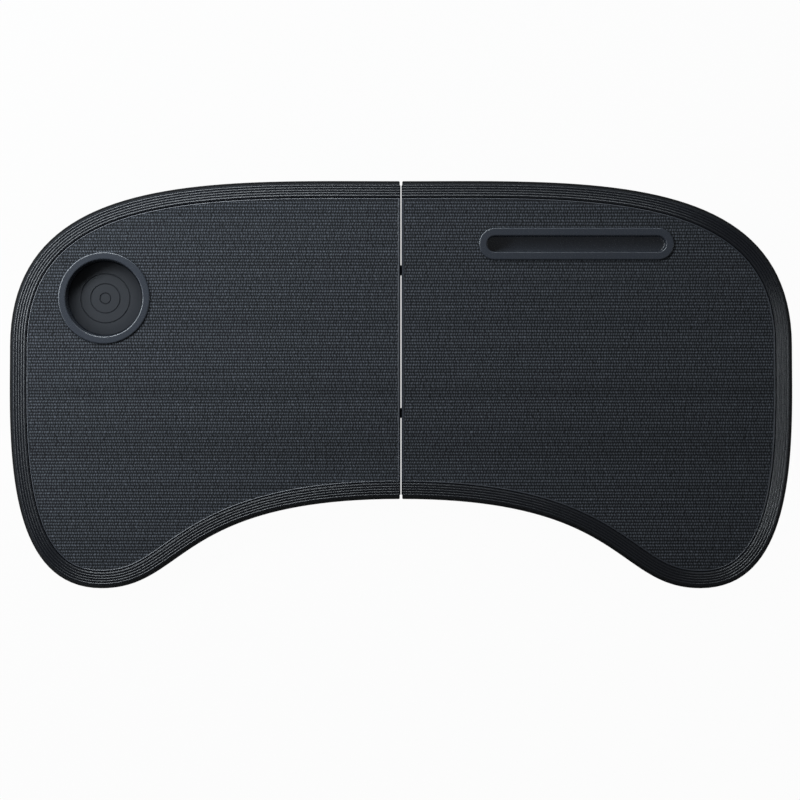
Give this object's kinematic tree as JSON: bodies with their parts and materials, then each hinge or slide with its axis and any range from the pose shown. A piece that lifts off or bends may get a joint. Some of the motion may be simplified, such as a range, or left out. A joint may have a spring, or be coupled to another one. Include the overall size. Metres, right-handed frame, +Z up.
{
  "type": "folding car seat tray table",
  "caption": "Kidney-shaped folding tray table with a cup well, a tablet slot, a ridged edge band, linked fold hinges and fold-away U legs.",
  "frame": {"origin": "on the surface the open table lies on, under the middle of its outline", "axes": "+X across the table towards the tablet slot's leaf, +Y towards the straighter back edge, +Z up"},
  "size_m": [0.7004, 0.3641, 0.0297],
  "materials": {
    "shell_plastic": "moulded satin, dark charcoal",
    "edge_rubber": "ribbed soft band, semi-gloss black",
    "woven_mat": "flat woven yarn, dark blue-grey with lighter threads",
    "insert_plastic": "smooth moulded, dark grey",
    "fitting_plastic": "moulded, black",
    "leg_steel": "powder-coated tube, black",
    "pin_steel": "zinc-plated",
    "foot_rubber": "moulded soft rubber, black",
    "cup_silicone": "matt silicone, dark grey",
    "button_plastic": "moulded, mid grey",
    "magnet_nickel": "nickel-plated"
  },
  "bodies": {
    "hinge_links": {"hinge_link_back": "fitting_plastic", "hinge_link_front": "fitting_plastic"},
    "left_leaf": {"left_shell": "shell_plastic", "left_edge_band": "edge_rubber", "left_top_mat": "woven_mat", "cup_insert": "insert_plastic", "cup_pad": "cup_silicone", "cup_retaining_ring": "fitting_plastic", "hinge_pin_back_left": "pin_steel", "hinge_pin_front_left": "pin_steel", "left_rear_bracket": "fitting_plastic", "left_front_lock_bracket": "fitting_plastic", "left_rear_pivot_pin": "pin_steel", "left_front_pivot_pin": "pin_steel", "left_lock_spring": "pin_steel", "left_leg_clip": "fitting_plastic", "left_clip_screw": "pin_steel", "left_rear_bracket_screw_1": "pin_steel", "left_rear_bracket_screw_2": "pin_steel", "left_front_bracket_screw_1": "pin_steel", "left_front_bracket_screw_2": "pin_steel", "left_back_pad": "foot_rubber", "left_front_pad": "foot_rubber", "left_shoulder_pad": "foot_rubber", "left_lobe_pad": "foot_rubber", "left_magnet": "magnet_nickel"},
    "right_leaf": {"right_shell": "shell_plastic", "right_edge_band": "edge_rubber", "right_top_mat": "woven_mat", "slot_insert": "insert_plastic", "slot_retaining_frame": "fitting_plastic", "hinge_pin_back_right": "pin_steel", "hinge_pin_front_right": "pin_steel", "right_rear_bracket": "fitting_plastic", "right_front_lock_bracket": "fitting_plastic", "right_rear_pivot_pin": "pin_steel", "right_front_pivot_pin": "pin_steel", "right_lock_spring": "pin_steel", "right_leg_clip": "fitting_plastic", "right_clip_screw": "pin_steel", "right_rear_bracket_screw_1": "pin_steel", "right_rear_bracket_screw_2": "pin_steel", "right_front_bracket_screw_1": "pin_steel", "right_front_bracket_screw_2": "pin_steel", "right_back_pad": "foot_rubber", "right_front_pad": "foot_rubber", "right_shoulder_pad": "foot_rubber", "right_lobe_pad": "foot_rubber", "right_magnet": "magnet_nickel"},
    "left_leg": {"left_leg_tube": "leg_steel", "left_foot_sleeve": "foot_rubber", "left_rear_knuckle": "fitting_plastic", "left_front_knuckle": "fitting_plastic"},
    "right_leg": {"right_leg_tube": "leg_steel", "right_foot_sleeve": "foot_rubber", "right_rear_knuckle": "fitting_plastic", "right_front_knuckle": "fitting_plastic"},
    "left_button": {"left_lock_button": "button_plastic"},
    "right_button": {"right_lock_button": "button_plastic"}
  },
  "joints": [
    {"name": "left_fold", "type": "hinge", "parent": "hinge_links", "child": "left_leaf", "pos_m": [-0.0053, 0, 0.005], "axis": [0, -1, 0], "range_deg": [0, 90]},
    {"name": "right_fold", "type": "hinge", "parent": "hinge_links", "child": "right_leaf", "pos_m": [0.0053, 0, 0.005], "axis": [0, 1, 0], "range_deg": [0, 90]},
    {"name": "left_leg_swing", "type": "hinge", "parent": "left_leaf", "child": "left_leg", "pos_m": [-0.209, 0.01, 0.0125], "axis": [0, -1, 0], "range_deg": [-100, 0]},
    {"name": "right_leg_swing", "type": "hinge", "parent": "right_leaf", "child": "right_leg", "pos_m": [0.209, 0.01, 0.0125], "axis": [0, 1, 0], "range_deg": [-100, 0]},
    {"name": "left_lock_press", "type": "slide", "parent": "left_leaf", "child": "left_button", "axis": [0, 0, 1], "range_m": [0, 0.003], "stiffness_N_per_m": 400},
    {"name": "right_lock_press", "type": "slide", "parent": "right_leaf", "child": "right_button", "axis": [0, 0, 1], "range_m": [0, 0.003], "stiffness_N_per_m": 400}
  ],
  "couplings": [
    {"joint": "right_fold", "follows": "left_fold", "ratio": 1}
  ]
}
